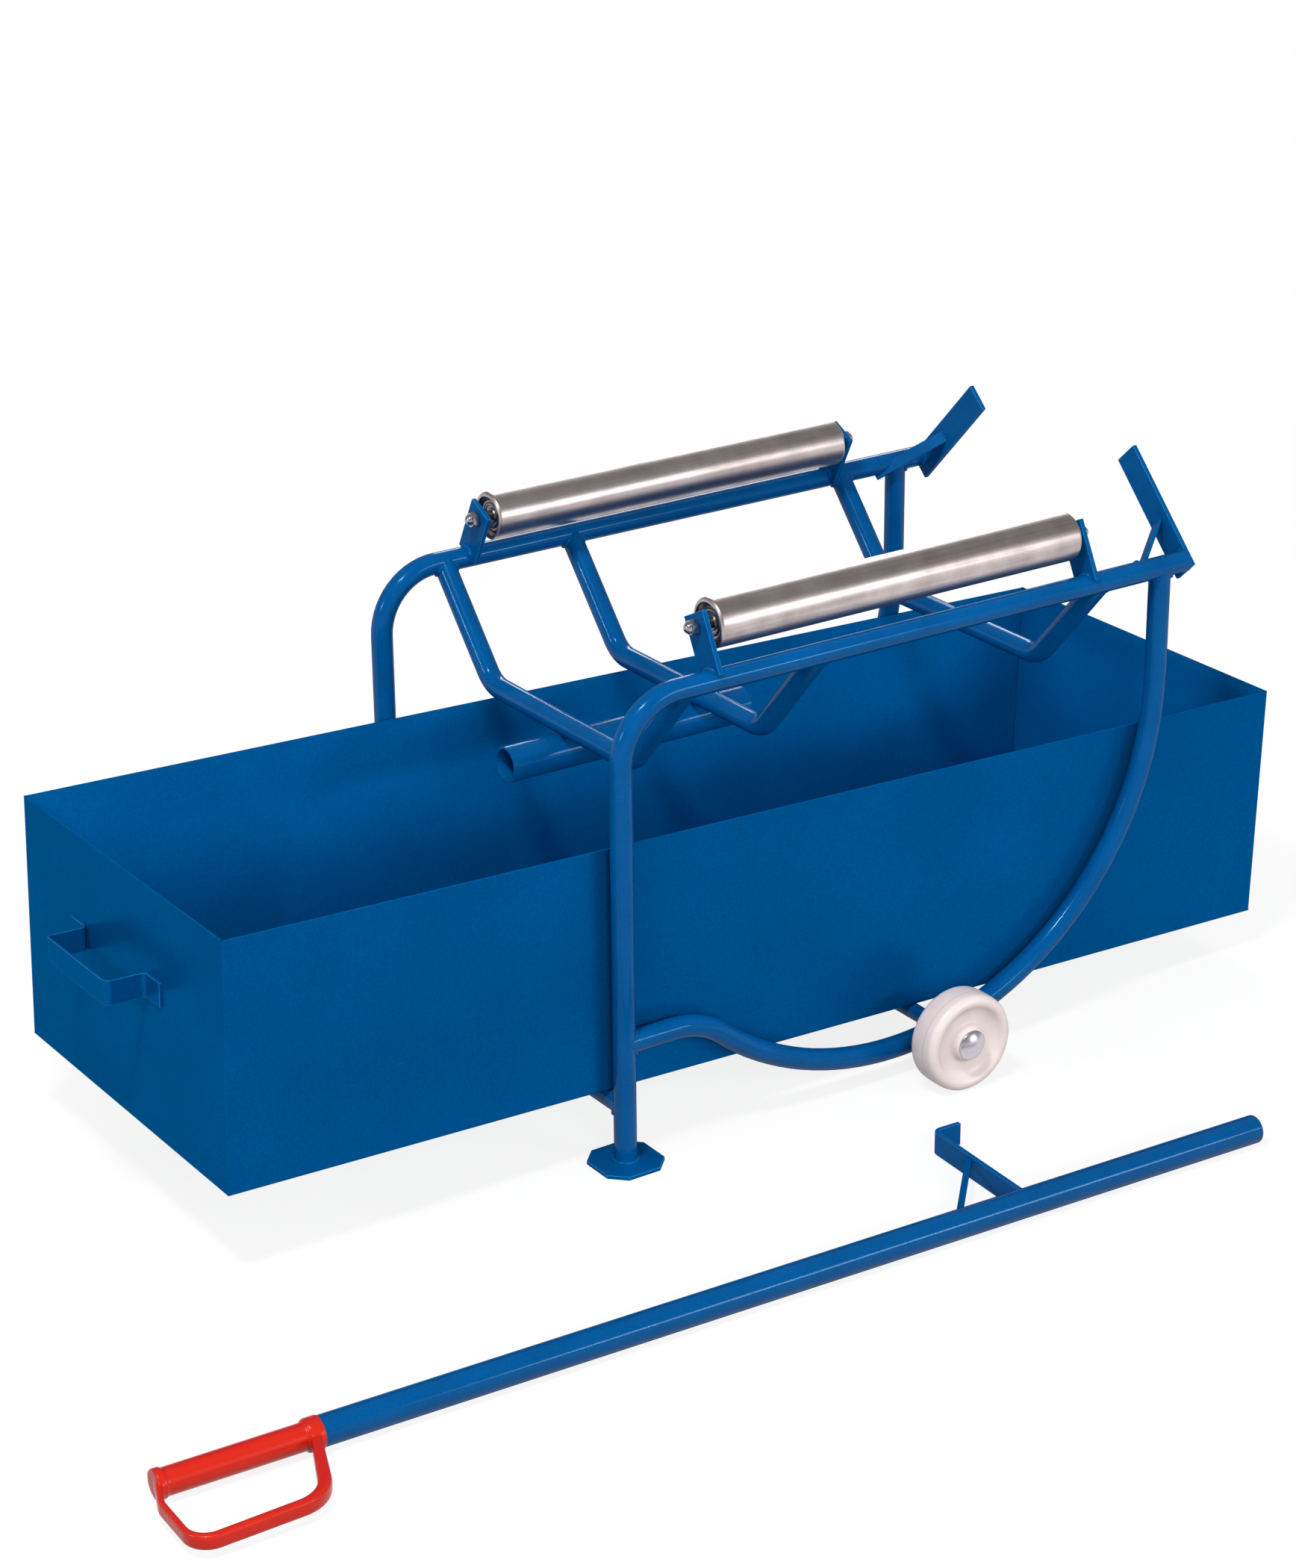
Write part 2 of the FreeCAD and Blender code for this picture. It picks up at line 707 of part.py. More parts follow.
nodes["lever_end_plug"] = lever_end_plug()
nodes["lever_hook"] = lever_hook()
nodes["lever_hook_brace"] = lever_hook_brace()
nodes["lever_grip"] = lever_grip()

# The origin is on the floor, under the middle of everything.
whole = Part.makeCompound(list(nodes.values())).optimalBoundingBox(False, False)
origin = at((whole.XMin + whole.XMax) / 2, (whole.YMin + whole.YMax) / 2, 0)

os.makedirs("parts", exist_ok=True)
for name, shape in nodes.items():
    shape.translate(origin * -1)
    shape.exportStep("parts/" + name + ".step")
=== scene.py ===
import json
import math
import bmesh
import bpy
from mathutils import Matrix, Vector


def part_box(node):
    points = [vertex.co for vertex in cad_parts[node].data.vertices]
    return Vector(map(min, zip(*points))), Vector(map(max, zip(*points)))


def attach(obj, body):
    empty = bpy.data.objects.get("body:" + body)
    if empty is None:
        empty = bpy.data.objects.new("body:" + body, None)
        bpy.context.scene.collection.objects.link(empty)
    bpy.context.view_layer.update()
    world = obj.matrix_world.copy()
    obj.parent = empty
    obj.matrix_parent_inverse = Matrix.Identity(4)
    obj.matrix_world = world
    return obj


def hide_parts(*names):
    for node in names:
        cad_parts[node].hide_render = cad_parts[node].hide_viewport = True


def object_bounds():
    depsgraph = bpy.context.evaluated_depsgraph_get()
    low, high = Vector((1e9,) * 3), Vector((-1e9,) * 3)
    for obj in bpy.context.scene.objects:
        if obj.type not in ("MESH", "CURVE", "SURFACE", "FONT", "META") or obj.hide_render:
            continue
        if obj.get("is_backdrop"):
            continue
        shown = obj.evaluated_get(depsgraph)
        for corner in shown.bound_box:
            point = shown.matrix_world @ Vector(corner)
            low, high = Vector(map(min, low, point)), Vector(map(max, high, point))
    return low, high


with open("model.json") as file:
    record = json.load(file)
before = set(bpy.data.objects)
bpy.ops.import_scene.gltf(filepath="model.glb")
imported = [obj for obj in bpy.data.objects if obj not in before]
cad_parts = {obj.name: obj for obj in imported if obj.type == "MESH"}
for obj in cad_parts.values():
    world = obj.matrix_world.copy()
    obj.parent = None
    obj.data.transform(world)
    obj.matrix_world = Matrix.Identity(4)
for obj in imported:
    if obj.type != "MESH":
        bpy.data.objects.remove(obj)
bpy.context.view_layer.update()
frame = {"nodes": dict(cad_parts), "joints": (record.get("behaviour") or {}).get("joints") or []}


# Legs and top rails: one drawn steel tube a side, 26.9 mm across, bent once at the top of the leg.
# The frame is welded up first and then blasted and powder coated blue all over, so every frame tube
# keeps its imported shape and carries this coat.
mm = 0.001
tube_r = 13.45 * mm


def linear(hex_colour):
    """An sRGB hex colour as linear red, green, blue and alpha."""
    shares = [int(hex_colour[i:i + 2], 16) / 255 for i in (1, 3, 5)]
    return [s / 12.92 if s <= 0.04045 else ((s + 0.055) / 1.055) ** 2.4 for s in shares] + [1.0]


def add(tree, kind, settings, inputs):
    """One shader node with its settings, and its inputs set to values or linked from other nodes."""
    made = tree.nodes.new("ShaderNode" + kind)
    for key, value in settings.items():
        setattr(made, key, value)
    for key, value in inputs.items():
        if isinstance(value, bpy.types.NodeSocket):
            tree.links.new(value, made.inputs[key])
        else:
            made.inputs[key].default_value = value
    return made


def new_material(name):
    """An empty material, its shader tree and the object's own coordinates."""
    made = bpy.data.materials.new(name)
    made.use_nodes = True
    made.node_tree.nodes.clear()
    place = made.node_tree.nodes.new("ShaderNodeTexCoord").outputs["Object"]
    return made, made.node_tree, place


def finish_material(tree, shader):
    """Joins the last shader to the material's output."""
    tree.links.new(shader.outputs[0], tree.nodes.new("ShaderNodeOutputMaterial").inputs["Surface"])


def powder_coat(name, thin, full, cloud_mm, grain_mm, rough, relief_mm, shine, scuff, sheen=0.0, tint="#a8d8ff"):
    """Baked polyester powder over steel: an even colour that clouds a little with its thickness, a fine
    orange peel that breaks up the highlights, a gloss that varies in patches and dies away where the surface
    turns from the eye, a few pale hair scratches from handling, and on flat sheet a slight tinted sheen. The
    real orange peel is about 1 mm across and a scratch 0.2 mm wide; both are drawn coarser so that they show
    at this distance."""
    made, tree, place = new_material(name)
    cloud = add(tree, "TexNoise", {}, {"Vector": place, "Scale": 1 / (cloud_mm * mm), "Detail": 3.0})
    grain = add(tree, "TexNoise", {}, {"Vector": place, "Scale": 1 / (grain_mm * mm), "Detail": 2.0})
    thick = add(tree, "MapRange", {}, {"Value": cloud.outputs["Fac"], "From Min": 0.3, "From Max": 0.7})
    colour = add(tree, "Mix", {"data_type": "RGBA"},
                 {0: thick.outputs[0], 6: linear(thin), 7: linear(full)})
    speck = add(tree, "MapRange", {}, {"Value": grain.outputs["Fac"], "From Min": 0.25, "From Max": 0.75,
                                       "To Min": 0.88, "To Max": 1.12})
    toned = add(tree, "HueSaturation", {}, {"Color": colour.outputs[2], "Value": speck.outputs[0]})
    scratch_long, scratch_wide, scratch_slant = 70 * mm, 1.1 * mm, 0.12
    drawn = add(tree, "Mapping", {}, {"Vector": place, "Rotation": (0.0, scratch_slant, 0.0),
                                      "Scale": (1 / scratch_long, 1 / scratch_wide, 1 / scratch_wide)})
    rub = add(tree, "TexNoise", {}, {"Vector": drawn.outputs[0], "Scale": 1.0, "Detail": 1.0})
    scratch = add(tree, "MapRange", {}, {"Value": rub.outputs["Fac"], "From Min": 0.82, "From Max": 0.90,
                                         "To Max": scuff})
    toned = add(tree, "Mix", {"data_type": "RGBA"},
                {0: scratch.outputs[0], 6: toned.outputs[0], 7: linear("#4f93c6")})
    dull = add(tree, "MapRange", {}, {"Value": cloud.outputs["Fac"], "From Min": 0.3, "From Max": 0.7,
                                      "To Min": rough[0], "To Max": rough[1]})
    relief = add(tree, "Bump", {}, {"Height": grain.outputs["Fac"], "Strength": 0.35, "Distance": relief_mm * mm})
    if shine > 0:
        slant = add(tree, "LayerWeight", {}, {"Blend": 0.5})
        shine = add(tree, "MapRange", {}, {"Value": slant.outputs["Facing"], "From Min": 0.35, "From Max": 0.8,
                                           "To Min": shine, "To Max": 0.0}).outputs[0]
    shader = add(tree, "BsdfPrincipled", {}, {"Base Color": toned.outputs[2], "Roughness": dull.outputs[0],
                                              "Specular IOR Level": shine, "Specular Tint": linear(tint),
                                              "Metallic": sheen, "Normal": relief.outputs[0]})
    finish_material(tree, shader)
    return made


# On a tube the powder flows out smooth, so the lamps draw narrow bright lines along it.
frame_paint = powder_coat("semi_gloss_blue_powder_coat_on_tube", thin="#005290", full="#004b85",
                          cloud_mm=60, grain_mm=2.2, rough=(0.11, 0.17), relief_mm=0.02, shine=0.16, scuff=0.25)


def dress(node, material):
    """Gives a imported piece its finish."""
    frame["nodes"][node].data.materials[0] = material


sides = {"right": -1, "left": 1}
for side in sides:
    dress(side + "_leg_rail", frame_paint)


# Rockers: lower rail, reverse bend, large arc and rear post of one tube, rolled and coped to the leg and rail.
# Cross tubes: three trapezoids that dip to clear the load, and one straight tube low between the legs.
for side in sides:
    dress(side + "_rocker", frame_paint)
for node in ("front_cross_tube", "middle_cross_tube", "rear_cross_tube", "lower_cross_tube"):
    dress(node, frame_paint)


# Lever socket: a length of 44.5 mm tube welded under two cross tubes, its sawn ends deburred before the
# coat, so the open mouth shows a narrow round edge.
def new_piece(name, shape, material, body, slot, *nodes):
    """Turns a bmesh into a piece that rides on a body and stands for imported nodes."""
    mesh = bpy.data.meshes.new(name)
    shape.to_mesh(mesh)
    shape.free()
    mesh.materials.append(material)
    piece = bpy.data.objects.new(name, mesh)
    bpy.context.scene.collection.objects.link(piece)
    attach(piece, body)
    if nodes:
        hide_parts(*nodes)
    return piece


def softened(node, edge_mm, material, body, slot, flat=True, edge_material=None):
    """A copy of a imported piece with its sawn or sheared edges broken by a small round."""
    shape = bmesh.new()
    shape.from_mesh(frame["nodes"][node].data)
    bmesh.ops.remove_doubles(shape, verts=shape.verts, dist=0.01 * mm)
    if flat:
        bmesh.ops.dissolve_limit(shape, angle_limit=math.radians(0.5), verts=shape.verts, edges=shape.edges)
    for face in shape.faces:
        face.smooth = True
        face.material_index = 0
    for edge in shape.edges:
        edge.smooth = True
    piece = new_piece(node + "_soft", shape, material, body, slot, node)
    if "custom_normal" in piece.data.attributes:
        piece.data.attributes.remove(piece.data.attributes["custom_normal"])
    rounded = piece.modifiers.new("broken_edges", "BEVEL")
    rounded.width = edge_mm * mm
    rounded.segments = 3
    rounded.limit_method = "ANGLE"
    rounded.angle_limit = math.radians(35)
    rounded.harden_normals = True
    if edge_material:
        piece.data.materials.append(edge_material)
        rounded.material = 1
    return piece


softened("lever_socket", 0.7, frame_paint, "frame", "frame_paint", flat=False)


# Foot plates: eight-sided flats of 5 mm steel plate, sheared to shape and deburred.
# They are welded square under the legs and coated with the frame.
# On plate the powder bakes to a satin skin that hardly mirrors the lamps.
plate_paint = powder_coat("satin_blue_powder_coat_on_plate", thin="#005290", full="#004b85",
                          cloud_mm=40, grain_mm=2.2, rough=(0.30, 0.40), relief_mm=0.04, shine=0.05, scuff=0.3)
# Bevelled edges get a paler, shinier coat, a painted highlight along the sheared edges.
edge_highlight_paint = powder_coat("blue_coat_with_painted_highlight_on_edge", thin="#1370b0", full="#085d99",
                         cloud_mm=8, grain_mm=2.2, rough=(0.22, 0.32), relief_mm=0.03, shine=0.2, scuff=0.8)
for side in sides:
    softened(side + "_foot_plate", 0.9, plate_paint, "frame", "frame_paint", edge_material=edge_highlight_paint)


# Roller brackets: 40 x 6 mm flats that lean in towards the load, coped over the rail at the foot.
# Toes: short 6 mm flats across the rail ends that stop the load from sliding, each propped by a thin strut.
for side in sides:
    for flat in ("_front_bracket", "_rear_bracket", "_toe"):
        softened(side + flat, 0.8, plate_paint, "frame", "frame_paint", edge_material=edge_highlight_paint)
    softened(side + "_toe_brace", 0.6, plate_paint, "frame", "frame_paint")


# Frame welds: rippled beads laid by hand round every joint of tube and plate, under the same coat.
# They follow the seams of the coped tubes, so each bead is a string of rings along its seam.
def gather(whole, shape):
    """Moves one bmesh into another."""
    passed = bpy.data.meshes.new("passed")
    shape.to_mesh(passed)
    shape.free()
    whole.from_mesh(passed)
    bpy.data.meshes.remove(passed)


def weld_bead(whole, points, radius, closed):
    """One bead: rings along the points that swell at each ripple, and taper off where the bead ends."""
    ripple_length, drift_length = 2.6 * mm, 17 * mm
    shape = bmesh.new()
    count = len(points)
    run = 0.0
    last_ring = first_ring = None
    for index, point in enumerate(points):
        before = points[index - 1] if closed or index else point
        after = points[(index + 1) % count] if closed or index + 1 < count else point
        run += (point - before).length
        ripple = 0.11 * math.cos(run / ripple_length * math.tau)
        drift = 0.07 * math.sin(run / drift_length + index)
        ends = not closed and index in (0, count - 1)
        taper = 1.0 if closed else min(1.0, 0.2 + 4 * min(index, count - 1 - index) / count)
        size = radius * (1 + ripple + drift) * taper
        turn = (after - before).to_track_quat("Z", "Y").to_matrix().to_4x4()
        ring = bmesh.ops.create_circle(shape, cap_ends=ends, segments=10, radius=size,
                                       matrix=Matrix.Translation(point) @ turn)["verts"]
        edges = list({edge for vert in ring for edge in vert.link_edges})
        if last_ring:
            bmesh.ops.bridge_loops(shape, edges=last_ring + edges)
        first_ring = first_ring or edges
        last_ring = edges
    if closed:
        bmesh.ops.bridge_loops(shape, edges=last_ring + first_ring)
    gather(whole, shape)


def seam(centre, main, branch, radius, middle_turn, half_turn=58, count=40):
    """Points of the seam in one crotch between a tube that runs off along branch and a tube along main."""
    aside = branch.cross(main).normalized()
    back = aside.cross(branch).normalized()
    climb = branch - main * branch.dot(main)
    points = []
    for step in range(count):
        turn = math.radians(middle_turn - half_turn + 2 * half_turn * step / (count - 1))
        rim = (back * math.cos(turn) + aside * math.sin(turn)) * radius
        flat_rim = rim - main * rim.dot(main)
        half = flat_rim.dot(climb)
        reach = math.sqrt(max(half ** 2 - climb.length_squared * (flat_rim.length_squared - radius ** 2), 0))
        points.append(centre + rim + branch * ((reach - half) / climb.length_squared))
    return points


def arc(centre, zero, aside, radius, first, last, count):
    """Points of a round seam, from one angle in degrees to another."""
    turns = [math.radians(first + (last - first) * step / (count - 1)) for step in range(count)]
    return [centre + (zero * math.cos(turn) + aside * math.sin(turn)) * radius for turn in turns]


def circle(centre, zero, aside, radius, count=96):
    """Points of a seam that runs all the way round, without the last one that would close it."""
    return arc(centre, zero, aside, radius, 0, 360 * (count - 1) / count, count)


def stretch(start, end, count):
    """Points of a straight seam."""
    return [start.lerp(end, step / (count - 1)) for step in range(count)]


def middle(node):
    """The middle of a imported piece's box."""
    low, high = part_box(node)
    return (low + high) / 2


def welded(name, shape, material, body, slot, place=None):
    """Turns gathered beads into a piece, with place to set them where their body lies."""
    bmesh.ops.recalc_face_normals(shape, faces=shape.faces)
    for face in shape.faces:
        face.smooth = True
    if place is not None:
        bmesh.ops.transform(shape, matrix=place, verts=shape.verts)
    new_piece(name, shape, material, body, slot)


along, across, up = Vector((1, 0, 0)), Vector((0, 1, 0)), Vector((0, 0, 1))
foot_top = 5 * mm
lower_rail_z = 154 * mm
lower_cross_z = middle("lower_cross_tube").z
rail_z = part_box("right_leg_rail")[1].z - tube_r
rail_end_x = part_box("right_leg_rail")[1].x
# How the cross tubes, brackets and toes lean, from their runs across and up in millimetres.
cross_slope = Vector((0, 111.55, -127.5)).normalized()
bracket_lean = Vector((0, -28.5, 57)).normalized()
toe_lean = Vector((0, -263.55, 277.08)).normalized()
bead_r, plate_bead_r, low_bead_r = 3.0 * mm, 3.3 * mm, 3.75 * mm
strut_half, strut_foot_r, strut_head_r = 4 * mm, 2.2 * mm, 1.5 * mm
strut_drop, strut_climb, strut_reach = 15 * mm, 76 * mm, 6.5 * mm
axle_aside, axle_below, axle_reach, axle_bead_r = 7.2 * mm, 8.6 * mm, 8 * mm, 2.6 * mm
socket_r, socket_aside, socket_lift, socket_bead_r = 22.25 * mm, 6 * mm, 0.5 * mm, 2.7 * mm
welds = bmesh.new()
for side, sign in sides.items():
    leg = middle(side + "_foot_plate")
    y = leg.y
    outward = Vector((1, sign, 1))
    weld_bead(welds, circle(Vector((leg.x, y, foot_top)), along, across, tube_r), bead_r, True)
    post_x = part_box(side + "_rocker")[1].x - tube_r
    joints = [(Vector((leg.x, y, lower_rail_z)), up, along), (Vector((post_x, y, rail_z)), along, -up)]
    for cross in ("front_cross_tube", "middle_cross_tube", "rear_cross_tube"):
        joints.append((Vector((middle(cross).x, y, rail_z)), along, cross_slope * Vector((1, -sign, 1))))
    for centre, main, branch in joints:
        for crotch in (0, 180):
            weld_bead(welds, seam(centre, main, branch, tube_r, crotch), bead_r, False)
    for crotch in (0, 180):
        low_joint = seam(Vector((leg.x, y, lower_cross_z)), up, across * -sign, tube_r, crotch)
        weld_bead(welds, low_joint, low_bead_r, False)
    lean = bracket_lean * outward
    for bracket in ("_front_bracket", "_rear_bracket"):
        low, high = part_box(side + bracket)
        for face_x in (low.x, high.x):
            cope = arc(Vector((face_x, y, rail_z)), lean, along.cross(lean), tube_r + 0.4 * mm, -70, 70, 34)
            weld_bead(welds, cope, plate_bead_r, False)
    lean = toe_lean * outward
    rail_end = Vector((rail_end_x, y, rail_z))
    toe_seam = arc(rail_end, lean, along.cross(lean) * -sign, tube_r + 0.2 * mm, -128, 46, 48)
    weld_bead(welds, toe_seam, plate_bead_r, False)
    strut_foot = Vector((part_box(side + "_toe_brace")[0].x + strut_half, y, rail_z))
    foot_seam = arc(strut_foot, lean, along.cross(lean), tube_r - 0.6 * mm, -34, 34, 16)
    weld_bead(welds, foot_seam, strut_foot_r, False)
    strut_head = rail_end - up * strut_drop + lean * strut_climb
    reach = along.cross(lean) * strut_reach
    weld_bead(welds, stretch(strut_head - reach, strut_head + reach, 12), strut_head_r, False)
    axle = middle("wheel_axle")
    for step in (-1, 1):
        spot = Vector((axle.x + step * axle_aside, y, axle.z - axle_below))
        axle_seam = stretch(spot - across * axle_reach, spot + across * axle_reach, 12)
        weld_bead(welds, axle_seam, axle_bead_r, False)
socket = middle("lever_socket")
for cross in ("front_cross_tube", "middle_cross_tube"):
    for step in (-1, 1):
        crown = Vector((middle(cross).x + step * socket_aside, socket.y, socket.z + socket_lift))
        weld_bead(welds, arc(crown, up, across, socket_r + 0.4 * mm, -34, 34, 22), socket_bead_r, False)
welded("frame_welds", welds, frame_paint, "frame", "frame_paint")


# Wheel axle: one 20 mm steel bar welded on top of both rockers, with a plain sleeve between frame and wheel.
# Bar and sleeves are coated with the frame.
dress("wheel_axle", frame_paint)
for side in sides:
    dress(side + "_wheel_spacer", frame_paint)


# Wheels: solid moulded nylon, 125 x 44 mm, dished round the hub on both faces, with softly rounded tread
# edges and a thin line of painted shade where the mould halves met round the tread.
def turned(profile, centre, axis, steps=128):
    """A closed outline of (radius, place along the axis) points, spun once round the axis."""
    shape = bmesh.new()
    arm = axis.orthogonal().normalized()
    verts = [shape.verts.new(centre + arm * r * mm + axis * w * mm) for r, w in profile]
    edges = [shape.edges.new((vert, verts[index - 1])) for index, vert in enumerate(verts)]
    bmesh.ops.spin(shape, geom=verts + edges, cent=centre, axis=axis, angle=math.tau, steps=steps, use_merge=True)
    bmesh.ops.remove_doubles(shape, verts=shape.verts, dist=0.002 * mm)
    bmesh.ops.recalc_face_normals(shape, faces=shape.faces)
    return shape


def round_ring(shape, centre, axis, r, w, size, segments):
    """Rounds the circular edge of a turned piece that lies at radius r and place w."""
    near = 0.02 * mm

    def on_ring(vert):
        out = vert.co - centre
        step = out.dot(axis)
        return abs(step - w * mm) < near and abs((out - axis * step).length - r * mm) < near
    ring = [edge for edge in shape.edges if all(on_ring(vert) for vert in edge.verts)]
    bmesh.ops.bevel(shape, geom=ring, offset=size * mm, segments=segments, profile=0.5, affect="EDGES", material=-1)


def nylon_finish(name, pale, deep):
    """Milky and slightly pink, with faint flow clouds and a satin skin from the mould, whose fine grain is
    drawn coarser than it is so that it shows."""
    made, tree, place = new_material(name)
    flow = add(tree, "TexNoise", {}, {"Vector": place, "Scale": 1 / (22 * mm), "Detail": 4.0})
    skin = add(tree, "TexNoise", {}, {"Vector": place, "Scale": 1 / (1.6 * mm), "Detail": 2.0})
    milk = add(tree, "Mix", {"data_type": "RGBA"}, {0: flow.outputs["Fac"], 6: linear(pale), 7: linear(deep)})
    satin = add(tree, "MapRange", {}, {"Value": flow.outputs["Fac"], "To Min": 0.30, "To Max": 0.46})
    fine = add(tree, "Bump", {}, {"Height": skin.outputs["Fac"], "Strength": 0.15, "Distance": 0.05 * mm})
    finish_material(tree, add(tree, "BsdfPrincipled", {"subsurface_method": "RANDOM_WALK"},
                              {"Base Color": milk.outputs[2], "Roughness": satin.outputs[0], "IOR": 1.53,
                               "Subsurface Weight": 0.25, "Subsurface Radius": (1.0, 0.7, 0.6),
                               "Subsurface Scale": 2.5 * mm, "Normal": fine.outputs[0]}))
    return made


nylon = nylon_finish("moulded_white_nylon", "#e7dbd9", "#dbccc9")
# The line where the mould halves met is painted darker, a painted shade standing in for the small mould ridge.
mould_line_shade = nylon_finish("nylon_with_painted_shade_mould_line", "#dcc5bf", "#b8968f")
# Radii, and places out from the wheel's middle, in millimetres.
bore_r, boss_r, boss_foot_r, dish_r, crest_r, tread_r = 10.06, 20.8, 23.4, 40.5, 50, 62.5
face_w, dish_w, line_outer_w, line_inner_w = 22, 12, 6.3, 5.5
line_w = (line_outer_w + line_inner_w) / 2
half_outline = [(bore_r, face_w), (boss_r, face_w), (boss_foot_r, dish_w), (dish_r, dish_w), (crest_r, face_w),
                (tread_r, face_w), (tread_r, line_outer_w), (tread_r, line_inner_w)]
wheel_outline = half_outline + [(r, -w) for r, w in reversed(half_outline)]
wheel_rounds = [(boss_r, face_w, 2.4, 6), (boss_foot_r, dish_w, 5.0, 6), (dish_r, dish_w, 7.0, 6),
                (crest_r, face_w, 3.0, 6), (tread_r, face_w, 8.4, 12), (bore_r, face_w, 0.8, 3)]
crown_start, crown_drop = 46 * mm, 1.6 * mm
for side, sign in sides.items():
    hub = middle(side + "_wheel")
    wheel = turned(wheel_outline, hub, across * sign, 160)
    for way in (1, -1):
        for r, w, size, segments in wheel_rounds:
            round_ring(wheel, hub, across * sign, r, w * way, size, segments)
    for vert in wheel.verts:
        out = vert.co - hub
        rim = Vector((out.x, 0, out.z))
        crown = max(rim.length - crown_start, 0) / (tread_r * mm - crown_start)
        vert.co -= rim.normalized() * crown_drop * crown * (out.y / (face_w * mm)) ** 2
    for face in wheel.faces:
        face.smooth = True
        out = face.calc_center_median() - hub
        on_tread = Vector((out.x, out.z)).length > 60 * mm
        on_line = on_tread and abs(out.y * sign - line_w * mm) < 0.3 * mm
        # Faces on the mould line take the painted shade.
        face.material_index = 1 if on_line else 0
    wheel = new_piece(side + "_nylon_wheel", wheel, nylon, side + "_wheel_body", "nylon", side + "_wheel")
    wheel.data.materials.append(mould_line_shade)


# Axle caps: pressed steel domes, polished bright before they are fitted.
# They are knocked on over the ends of the axle and hold the wheels.
def bare_metal(name, cloud_mm, detail, first, second, rough):
    """Uncoated or plated steel that clouds finely between two greys, with its gloss changing along."""
    made, tree, place = new_material(name)
    cloud = add(tree, "TexNoise", {}, {"Vector": place, "Scale": 1 / (cloud_mm * mm), "Detail": detail})
    grey = add(tree, "Mix", {"data_type": "RGBA"}, {0: cloud.outputs["Fac"], 6: linear(first), 7: linear(second)})
    dull = add(tree, "MapRange", {}, {"Value": cloud.outputs["Fac"], "To Min": rough[0], "To Max": rough[1]})
    finish_material(tree, add(tree, "BsdfPrincipled", {}, {"Base Color": grey.outputs[2], "Metallic": 1.0,
                                                           "Roughness": dull.outputs[0]}))
    return made


# Nearly a mirror, with a soft haze from polishing and handling.
polished_steel = bare_metal("polished_pressed_steel", 6, 5.0, "#d2ccd4", "#bcb6bf", (0.20, 0.40))
dome = [(0.0, 9.0), (3.5, 8.8), (7.0, 8.15), (10.5, 7.0), (13.5, 5.5), (16.2, 3.75), (18.0, 2.3), (18.8, 1.4),
        (19.0, 0.6), (18.6, 0.0), (0.0, 0.0)]
for side, sign in sides.items():
    low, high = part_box(side + "_wheel_cap")
    seat = (low + high) / 2
    seat.y = low.y if sign > 0 else high.y
    cap = turned(dome, seat, across * sign, 96)
    for face in cap.faces:
        face.smooth = True
    new_piece(side + "_axle_cap", cap, polished_steel, "frame", "bright_steel", side + "_wheel_cap")


# Rollers: drawn steel tube, zinc plated, with the ends rolled in over pressed cups that hold the bearings.
# Each turns on a fixed 12 mm axle of turned steel.
zinc_steel, tree, place = new_material("zinc_plated_drawn_steel")
# Warm grey metal with long dull streaks along the tube from drawing and plating, and cloudy patches.
streak_long, streak_wide, patch_wide = 260 * mm, 3.5 * mm, 35 * mm
streak_place = add(tree, "Mapping", {}, {"Vector": place,
                                         "Scale": (1 / streak_long, 1 / streak_wide, 1 / streak_wide)})
streak = add(tree, "TexNoise", {}, {"Vector": streak_place.outputs[0], "Scale": 1.0, "Detail": 5.0})
patch = add(tree, "TexNoise", {}, {"Vector": place, "Scale": 1 / patch_wide, "Detail": 5.0})
both = add(tree, "Mix", {"data_type": "FLOAT"}, {0: 0.55, 2: streak.outputs["Fac"], 3: patch.outputs["Fac"]})
tone = add(tree, "MapRange", {}, {"Value": both.outputs[0], "From Min": 0.28, "From Max": 0.70})
metal = add(tree, "Mix", {"data_type": "RGBA"}, {0: tone.outputs[0], 6: linear("#9a908f"), 7: linear("#d6cac8")})
gloss = add(tree, "MapRange", {}, {"Value": tone.outputs[0], "To Min": 0.42, "To Max": 0.30})
draw = add(tree, "Bump", {}, {"Height": streak.outputs["Fac"], "Strength": 0.2, "Distance": 0.08 * mm})
finish_material(tree, add(tree, "BsdfPrincipled", {}, {"Base Color": metal.outputs[2], "Metallic": 1.0,
                                                       "Roughness": gloss.outputs[0], "Normal": draw.outputs[0]}))
# Mid grey metal, clouded by turning marks and a film of oil, so its gloss changes from spot to spot. The marks
# are drawn coarser than they are so that they show.
turned_steel = bare_metal("turned_steel_oiled", 2, 3.0, "#6f6d6f", "#a5a3a3", (0.22, 0.42))
cup_outline = [(28.0, 0.6), (27.2, 0.2), (26.2, 0.8), (25.2, 3.4), (23.6, 4.6), (21.8, 4.2), (20.6, 2.4),
               (19.8, 0.6), (18.8, 0.1), (17.6, 0.5), (16.0, 1.6), (16.0, 18.0), (28.0, 18.0)]
bearing_outline = [(6.05, 0.3), (6.6, 0.0), (8.8, 0.0), (9.2, 0.5), (9.5, 1.6), (12.6, 1.2), (13.1, 0.3),
                   (13.7, 0.0), (15.2, 0.2), (16.0, 1.0), (16.0, 10.0), (6.05, 10.0)]
